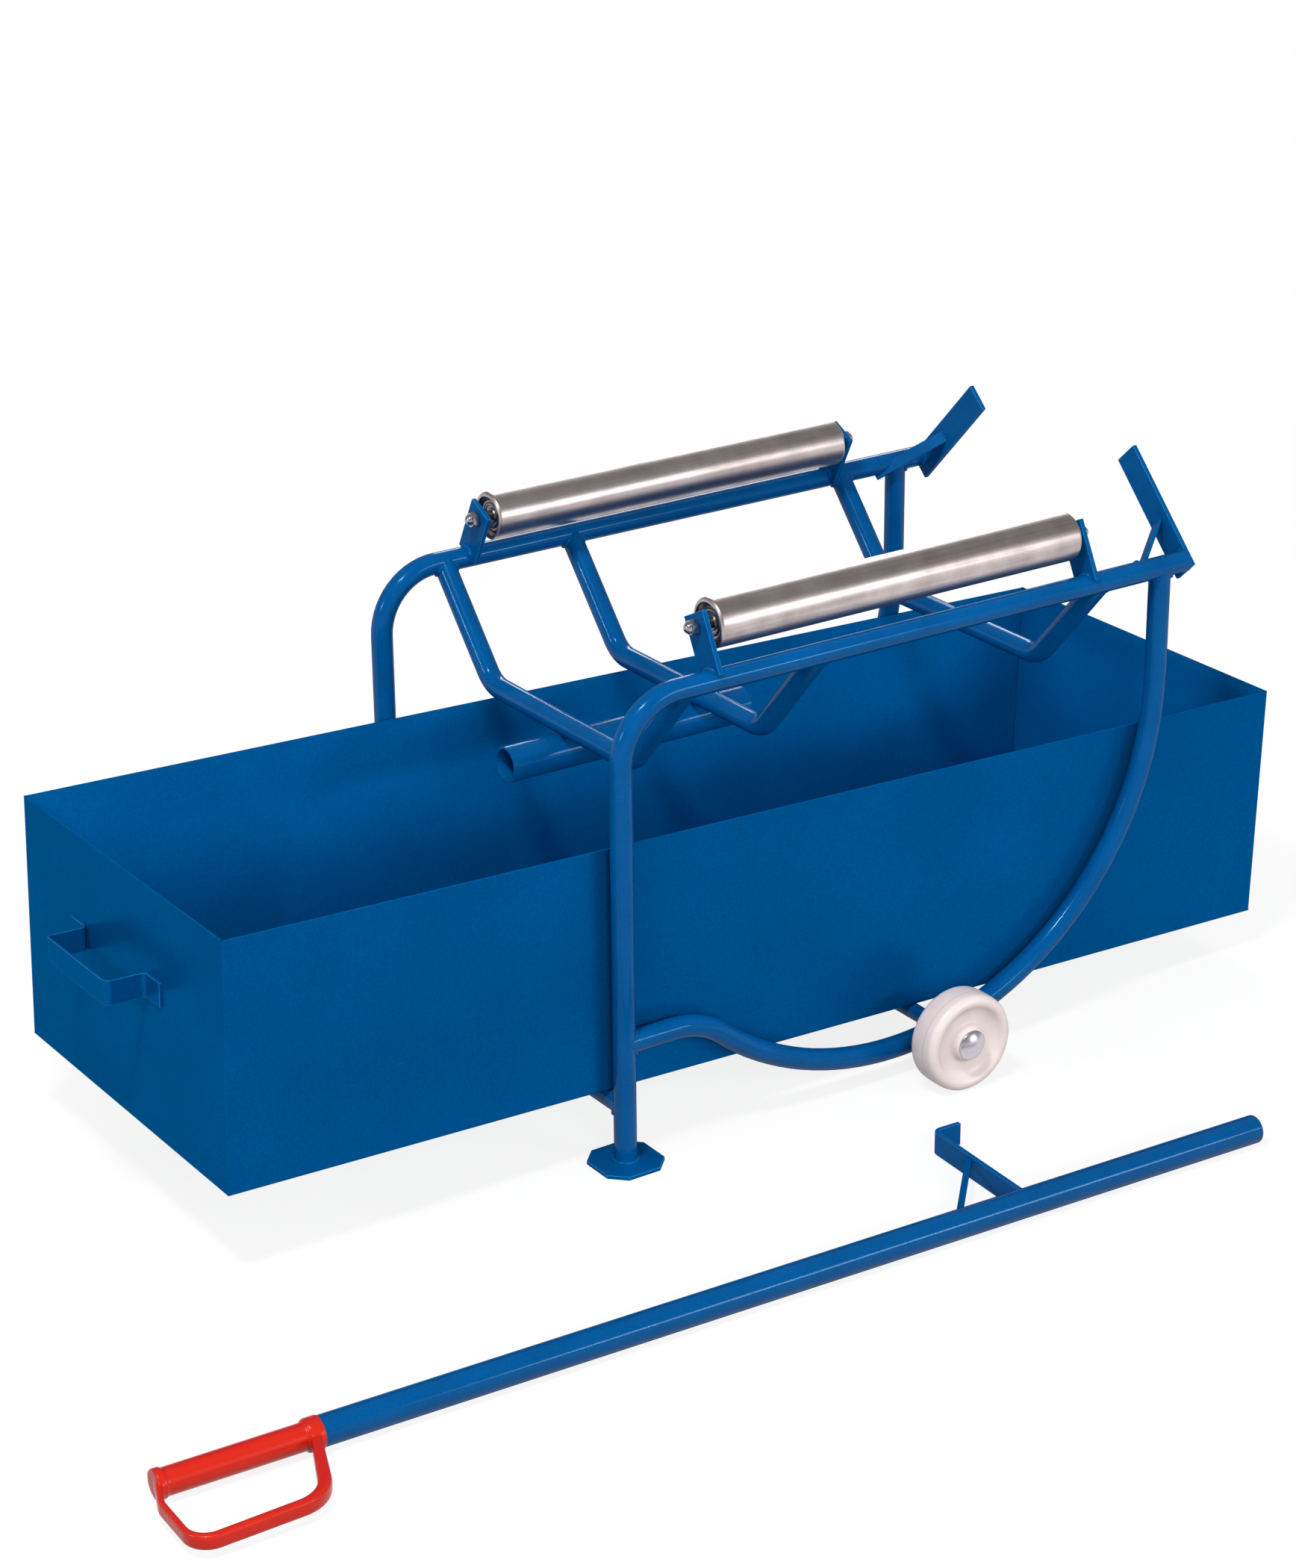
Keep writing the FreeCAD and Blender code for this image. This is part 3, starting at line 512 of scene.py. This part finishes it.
for side in sides:
    dress(side + "_roller_tube", zinc_steel)
    dress(side + "_roller_axle", turned_steel)
    low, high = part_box(side + "_roller_end_cups")
    centre = (low + high) / 2
    cups = bmesh.new()
    bearings = bmesh.new()
    for end_x, inward in ((low.x, along), (high.x, -along)):
        mouth = Vector((end_x, centre.y, centre.z))
        gather(cups, turned(cup_outline, mouth, inward, 72))
        gather(bearings, turned(bearing_outline, mouth, inward, 72))
    for shape in (cups, bearings):
        for face in shape.faces:
            face.smooth = True
        for edge in shape.edges:
            edge.smooth = edge.calc_face_angle(0) < math.radians(40)
    new_piece(side + "_roller_cups", cups, zinc_steel, side + "_roller_body", "zinc_steel",
              side + "_roller_end_cups")
    new_piece(side + "_roller_rings", bearings, turned_steel, side + "_roller_body", "bearing_steel",
              side + "_roller_bearings")


# Roller nuts: a domed cap nut outside and a plain lock nut inside each bracket, of steel with bright zinc plate.
# They clamp the roller's axle to the brackets.
# Cool silvery plate that is bright on the flats and a little cloudy.
bright_zinc = bare_metal("bright_zinc_plate", 5, 4.0, "#85838a", "#c4c2c8", (0.18, 0.34))
across_flats, cap_nut_height, lock_nut_height, corner_cut = 17 * mm, 10 * mm, 8 * mm, 2.2 * mm
nut_dome_r, nut_dome_out = 6.9 * mm, 9.6 * mm


def hex_nut(shape, start, out, height):
    """A hexagon with its corners turned off at the outer end."""
    turn = out.to_track_quat("Z", "Y").to_matrix().to_4x4()
    place = Matrix.Translation(start + out * height / 2) @ turn
    corner = across_flats / math.sqrt(3)
    verts = bmesh.ops.create_cone(shape, cap_ends=True, segments=6, radius1=corner, radius2=corner,
                                  depth=height, matrix=place)["verts"]
    top = [vert for vert in verts if (vert.co - start).dot(out) > height * 0.9]
    bmesh.ops.bevel(shape, geom=top, offset=corner_cut, segments=1, profile=0.5, affect="VERTICES", material=-1)


cap_nuts = bmesh.new()
lock_nuts = bmesh.new()
for side in sides:
    roller = middle(side + "_roller_tube")
    for bracket, out in (("_front_bracket", -along), ("_rear_bracket", along)):
        low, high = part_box(side + bracket)
        outer_x, inner_x = (low.x, high.x) if out.x < 0 else (high.x, low.x)
        start = Vector((outer_x, roller.y, roller.z))
        hex_nut(cap_nuts, start, out, cap_nut_height)
        bmesh.ops.create_uvsphere(cap_nuts, u_segments=32, v_segments=20, radius=nut_dome_r,
                                  matrix=Matrix.Translation(start + out * nut_dome_out))
        hex_nut(lock_nuts, Vector((inner_x, roller.y, roller.z)), -out, lock_nut_height)
for shape in (cap_nuts, lock_nuts):
    for face in shape.faces:
        face.smooth = len(face.verts) < 5 and face.calc_area() < 4 * mm * mm
new_piece("bright_cap_nuts", cap_nuts, bright_zinc, "frame", "bright_steel", "roller_cap_nuts")
new_piece("bright_lock_nuts", lock_nuts, bright_zinc, "frame", "bright_steel", "roller_lock_nuts")


# Collecting tray: one open pan of 2.5 mm sheet, folded up along the floor and welded at the upright corners.
# It lies loose on the low cross tube and the axle, so it slopes a little to the rear.
# On the broad sheet the powder is satin, with a slight blue sheen where the light strikes it.
tray_paint = powder_coat("satin_blue_powder_coat_on_sheet", thin="#00518d", full="#004b85",
                         cloud_mm=180, grain_mm=2.6, rough=(0.24, 0.32), relief_mm=0.03, shine=0.0, scuff=0.5,
                         sheen=0.3, tint="#00e4ff")
pull = Vector([joint for joint in frame["joints"] if joint["name"] == "tray_pull"][0]["axis"])
tray_turn = Matrix.Rotation(math.atan2(pull.z, -pull.x), 4, "Y")
tray_place = Matrix.Translation(middle("tray_pan")) @ tray_turn
tray_half = Vector((750, 244.5, 152.5)) * mm
sheet = 2.5 * mm
pan = bmesh.new()
bmesh.ops.create_cube(pan, size=2.0, matrix=Matrix.Diagonal(tray_half.to_4d()))
lid = [face for face in pan.faces if face.normal.z > 0.5]
bmesh.ops.inset_region(pan, faces=lid, thickness=sheet, use_even_offset=True)
well = bmesh.ops.extrude_face_region(pan, geom=lid)["geom"]
bmesh.ops.delete(pan, geom=lid, context="FACES")
bmesh.ops.translate(pan, verts=[part for part in well if isinstance(part, bmesh.types.BMVert)],
                    vec=(0, 0, sheet - tray_half.z * 2))


def tray_edges(test):
    """The edges of the pan whose two ends pass a test."""
    return [edge for edge in pan.edges if test(edge.verts[0].co, edge.verts[1].co)]


def outside(spot):
    """Whether a corner of the pan is one of its outer corners."""
    return abs(spot.x) > tray_half.x - sheet / 2 and abs(spot.y) > tray_half.y - sheet / 2


def round_tray(edges, radius_mm, segments):
    """Rounds edges of the pan."""
    bmesh.ops.bevel(pan, geom=edges, offset=radius_mm * mm, segments=segments, profile=0.5, affect="EDGES",
                    material=-1)


folds = tray_edges(lambda a, b: outside(a) and outside(b) and a.z < 0 and b.z < 0)
well_edges = tray_edges(lambda a, b: not outside(a) and not outside(b) and (a.z < 0 or b.z < 0))
round_tray(well_edges, 1.4, 3)
round_tray(folds, 3.2, 5)
round_tray(tray_edges(lambda a, b: abs(a.z - b.z) > 200 * mm and outside(a)), 2.8, 4)
round_tray(tray_edges(lambda a, b: min(a.z, b.z) > tray_half.z - 0.01 * mm), 0.6, 2)
bmesh.ops.remove_doubles(pan, verts=pan.verts, dist=0.01 * mm)
bmesh.ops.recalc_face_normals(pan, faces=pan.faces)
# On a thin wall that can turn all faces inwards, which the sign of the volume shows.
if pan.calc_volume(signed=True) < 0:
    bmesh.ops.reverse_faces(pan, faces=pan.faces)
for face in pan.faces:
    face.smooth = True
    spot = face.calc_center_median()
    in_well = abs(spot.x) < tray_half.x - sheet / 2 and abs(spot.y) < tray_half.y - sheet / 2
    # Rim faces take the paler rim paint, a painted highlight; faces inside the well take the paler inside paint,
    # painted light.
    if min(vert.co.z for vert in face.verts) > tray_half.z - 1 * mm:
        face.material_index = 1
    elif in_well and spot.z > sheet / 2 - tray_half.z:
        face.material_index = 2
bmesh.ops.transform(pan, matrix=tray_place, verts=pan.verts)
pan = new_piece("tray_sheet_pan", pan, tray_paint, "tray", "tray_paint", "tray_pan")
# The sheared rim is painted a little paler than the sheet, a painted highlight along its top, and dull.
rim_highlight_paint = powder_coat("blue_coat_with_painted_highlight_on_rim", thin="#00558f", full="#004e88",
                        cloud_mm=30, grain_mm=2.2, rough=(0.50, 0.60), relief_mm=0.03, shine=0.0, scuff=0.8)
pan.data.materials.append(rim_highlight_paint)
# The deep inside is painted a little paler, painted light that lifts the shade in the well, and dull.
well_light_paint = powder_coat("dull_blue_coat_painted_light_inside_pan", thin="#005c9c", full="#005592",
                         cloud_mm=120, grain_mm=2.6, rough=(0.50, 0.60), relief_mm=0.06, shine=0.0, scuff=0.5)
pan.data.materials.append(well_light_paint)
flats = pan.modifiers.new("flat_sides", "WEIGHTED_NORMAL")
flats.weight = 80


# Tray handles: 30 x 3 mm steel flats bent to a U, their feet turned out along the end walls and welded there.
# The beads at their feet and those in the pan's upright corners are laid before the tray is coated.
for end in ("front", "rear"):
    softened("tray_" + end + "_handle", 0.7, tray_paint, "tray", "tray_paint", flat=False,
             edge_material=edge_highlight_paint)
handle_shift, foot_near, foot_far = 10.8 * mm, 80 * mm, 108 * mm
foot_low, foot_high, foot_bead_r = 170 * mm, 200 * mm, 1.7 * mm
corner_start, corner_run, corner_bead_r = 6 * mm, 292 * mm, 2.0 * mm
tray_welds = bmesh.new()
for out in (-1, 1):
    wall = out * tray_half.x
    shift = -out * handle_shift
    for reach in (-1, 1):
        for z in (foot_low, foot_high):
            near = Vector((wall, shift + reach * foot_near, z - tray_half.z))
            far = Vector((wall, shift + reach * foot_far, z - tray_half.z))
            weld_bead(tray_welds, stretch(near, far, 18), foot_bead_r, False)
for x in (-1, 1):
    for y in (-1, 1):
        low = Vector((x * (tray_half.x - sheet), y * (tray_half.y - sheet), corner_start - tray_half.z))
        weld_bead(tray_welds, stretch(low, low + up * corner_run, 160), corner_bead_r, False)
welded("tray_welds", tray_welds, tray_paint, "tray", "tray_paint", tray_place)


# Lever: 33.7 mm steel tube with a welded tip, and a bent flat hook with a thin strut welded to its side.
# It is a loose piece that lies on the floor beside the frame.
# It was coated apart from the frame, a shade deeper, and mirrors the lamps in one long line.
lever_paint = powder_coat("semi_gloss_blue_powder_coat_on_lever", thin="#004d88", full="#00477e",
                          cloud_mm=90, grain_mm=2.2, rough=(0.12, 0.18), relief_mm=0.02, shine=0.22, scuff=0.25)
lever_r = 16.85 * mm
lever_ahead, lever_aside, lever_height = 770.5 * mm, 314.95 * mm, 18.38 * mm
lever_yaw, lever_dip = math.radians(-2.74), math.radians(0.0624)
foot_plate = middle("right_foot_plate")
lever_start = Vector((foot_plate.x - lever_ahead, foot_plate.y - lever_aside, lever_height))
lever_turn = Matrix.Rotation(lever_yaw, 4, "Z") @ Matrix.Rotation(lever_dip, 4, "Y")
lever_place = Matrix.Translation(lever_start) @ lever_turn
for node in ("lever_tube", "lever_end_plug"):
    dress(node, lever_paint)
softened("lever_hook", 1.3, plate_paint, "lever", "lever_paint", edge_material=edge_highlight_paint)
softened("lever_hook_brace", 0.6, lever_paint, "lever", "lever_paint", flat=False)
hook_sides, hook_bead_r = (1067 * mm, 1073 * mm), 2.2 * mm
tip_seam, tip_inset, tip_bead_r = 1402 * mm, 1.1 * mm, 0.9 * mm
lever_welds = bmesh.new()
for x in hook_sides:
    weld_bead(lever_welds, arc(along * x, across, up, lever_r + 0.2 * mm, -52, 52, 30), hook_bead_r, False)
weld_bead(lever_welds, circle(along * tip_seam, across, up, lever_r - tip_inset), tip_bead_r, True)
welded("lever_welds", lever_welds, lever_paint, "lever", "lever_paint", lever_place)


# Grip: one glossy red moulding, a round hand bar with a flange, a collar over the tube's end and a flat bow.
# Its edges are all run out softly, as they leave the mould.
red_plastic, tree, place = new_material("moulded_red_plastic")
# Deep even red with a bright skin, broken a little by slight flow marks and a fine mould texture, which is
# drawn coarser than it is so that it shows.
flow = add(tree, "TexNoise", {}, {"Vector": place, "Scale": 1 / (30 * mm), "Detail": 3.0})
skin = add(tree, "TexNoise", {}, {"Vector": place, "Scale": 1 / (1.8 * mm), "Detail": 2.0})
red = add(tree, "Mix", {"data_type": "RGBA"}, {0: flow.outputs["Fac"], 6: linear("#bb1a0c"), 7: linear("#c62411")})
gloss = add(tree, "MapRange", {}, {"Value": flow.outputs["Fac"], "To Min": 0.22, "To Max": 0.36})
fine = add(tree, "Bump", {}, {"Height": skin.outputs["Fac"], "Strength": 0.2, "Distance": 0.05 * mm})
finish_material(tree, add(tree, "BsdfPrincipled", {}, {"Base Color": red.outputs[2], "Roughness": gloss.outputs[0],
                                                       "IOR": 1.49, "Specular IOR Level": 0.3,
                                                       "Normal": fine.outputs[0]}))
# The collar is filled round the tube's end, so that the remeshed skin closes there in one piece.
core_x, core_r, core_length = 172 * mm, 17.6 * mm, 17 * mm
grip = bmesh.new()
grip.from_mesh(frame["nodes"]["lever_grip"].data)
bmesh.ops.remove_doubles(grip, verts=grip.verts, dist=0.01 * mm)
core = lever_place @ Matrix.Translation((core_x, 0, 0)) @ Matrix.Rotation(math.radians(90), 4, "Y")
bmesh.ops.create_cone(grip, cap_ends=True, segments=64, radius1=core_r, radius2=core_r, depth=core_length,
                      matrix=core)
mesh = bpy.data.meshes.new("grip_mould")
grip.to_mesh(mesh)
grip.free()
mould = bpy.data.objects.new("grip_mould", mesh)
bpy.context.scene.collection.objects.link(mould)
skinned = mould.modifiers.new("one_skin", "REMESH")
skinned.mode = "VOXEL"
skinned.voxel_size = 1.1 * mm
bpy.context.view_layer.update()
cast = bpy.data.meshes.new_from_object(mould.evaluated_get(bpy.context.evaluated_depsgraph_get()))
bpy.data.objects.remove(mould)
grip = bmesh.new()
grip.from_mesh(cast)
for _ in range(5):
    bmesh.ops.smooth_vert(grip, verts=grip.verts, factor=0.5, use_axis_x=True, use_axis_y=True, use_axis_z=True)
for face in grip.faces:
    face.smooth = True
    face.material_index = 0
new_piece("moulded_grip", grip, red_plastic, "lever", "red_plastic", "lever_grip")


# Studio: a wide pale floor, a soft dome of light, small soft lamps overhead and at the left, a long one low at
# the right that draws the line along the lever, a wide front fill that the gloss doesn't mirror, and one behind.
# The camera stands where the photograph was taken from.
floor_paint, tree, place = new_material("pale_studio_floor")
# To the eye and to mirrors the floor is white with the object's shadow near by, and plain white further off.
away = add(tree, "VectorMath", {"operation": "LENGTH"}, {0: place})
fade = add(tree, "MapRange", {"interpolation_type": "SMOOTHSTEP"}, {"Value": away.outputs["Value"],
                                                                    "From Min": 1.2, "From Max": 3.0})
sweep = add(tree, "BsdfDiffuse", {}, {"Color": linear("#717171")})
lift = add(tree, "Emission", {}, {"Color": linear("#ffffff"), "Strength": 0.84})
near = add(tree, "AddShader", {}, {0: sweep.outputs[0], 1: lift.outputs[0]})
far = add(tree, "Emission", {}, {"Color": linear("#ffffff"), "Strength": 1.0})
backdrop = add(tree, "MixShader", {}, {0: fade.outputs[0], 1: near.outputs[0], 2: far.outputs[0]})
eye = add(tree, "LightPath", {}, {})
seen = add(tree, "Math", {"operation": "MAXIMUM"},
           {0: eye.outputs["Is Camera Ray"], 1: eye.outputs["Is Glossy Ray"]})
seen = add(tree, "Math", {"operation": "MAXIMUM"}, {0: seen.outputs[0], 1: eye.outputs["Is Transmission Ray"]})
finish_material(tree, add(tree, "MixShader", {}, {0: seen.outputs[0], 1: sweep.outputs[0], 2: backdrop.outputs[0]}))
floor = bmesh.new()
bmesh.ops.create_grid(floor, x_segments=4, y_segments=4, size=30.0)
mesh = bpy.data.meshes.new("studio_floor")
floor.to_mesh(mesh)
floor.free()
mesh.materials.append(floor_paint)
studio_floor = bpy.data.objects.new("studio_floor", mesh)
bpy.context.scene.collection.objects.link(studio_floor)
studio_floor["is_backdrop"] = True

world = bpy.data.worlds.new("studio_dome")
world.use_nodes = True
tree = world.node_tree
tree.nodes.clear()
height = add(tree, "SeparateXYZ", {}, {0: tree.nodes.new("ShaderNodeTexCoord").outputs["Generated"]})
dusk = add(tree, "MapRange", {"interpolation_type": "SMOOTHSTEP"}, {"Value": height.outputs["Z"], "From Min": 0.0,
                                                                    "From Max": 0.25, "To Min": 1.0, "To Max": 0.3})
sky = add(tree, "Background", {}, {"Color": linear("#ffffff"), "Strength": dusk.outputs[0]})
tree.links.new(sky.outputs[0], tree.nodes.new("ShaderNodeOutputWorld").inputs["Surface"])
bpy.context.scene.world = world


def soft_lamp(name, spot, aim, size, power, mirrored=True):
    """A soft box of a given width and height in metres and power in watts, turned to where it aims."""
    lamp = bpy.data.lights.new(name, "AREA")
    lamp.shape = "RECTANGLE"
    lamp.size, lamp.size_y = size
    lamp.energy = power
    held = bpy.data.objects.new(name, lamp)
    bpy.context.scene.collection.objects.link(held)
    held.visible_glossy = mirrored
    held.location = spot
    held.rotation_euler = (Vector(aim) - Vector(spot)).to_track_quat("-Z", "Y").to_euler()


soft_lamp("overhead_lamp", (-1.7, -1.0, 4.0), (0.0, 0.0, 0.4), (0.7, 0.45), 95)
soft_lamp("left_lamp", (-6.5, 0.5, 3.1), (-0.3, 0.0, 0.3), (0.85, 0.85), 90)
soft_lamp("right_lamp", (2.1, -4.2, 1.6), (0.1, 0.0, 0.3), (1.8, 0.45), 66)
soft_lamp("front_lamp", (-1.6, -4.5, 2.2), (0.0, 0.0, 0.3), (2.0, 2.0), 120, mirrored=False)
soft_lamp("back_lamp", (2.8, 3.8, 2.6), (0.0, 0.0, 0.3), (1.6, 1.6), 95)

azimuth, elevation, roll = (math.radians(v) for v in (-33.88, 22.563, -0.586))
camera_spot = Vector((-2215.09, -3253.99, 2051.1)) * mm
view = Vector((-math.sin(azimuth) * math.cos(elevation), math.cos(azimuth) * math.cos(elevation),
               -math.sin(elevation)))
level = Vector((math.cos(azimuth), math.sin(azimuth), 0))
top = level.cross(view)
right = level * math.cos(roll) + top * math.sin(roll)
top = top * math.cos(roll) - level * math.sin(roll)
lens = bpy.data.cameras.new("photo_camera")
lens.lens = 84.25
lens.sensor_width = 36
camera = bpy.data.objects.new("photo_camera", lens)
bpy.context.scene.collection.objects.link(camera)
turn = Matrix((right, top, -view)).transposed().to_4x4()
camera.matrix_world = Matrix.Translation(camera_spot) @ turn
bpy.context.scene.camera = camera
bpy.context.scene.view_settings.view_transform = "Standard"

low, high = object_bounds()
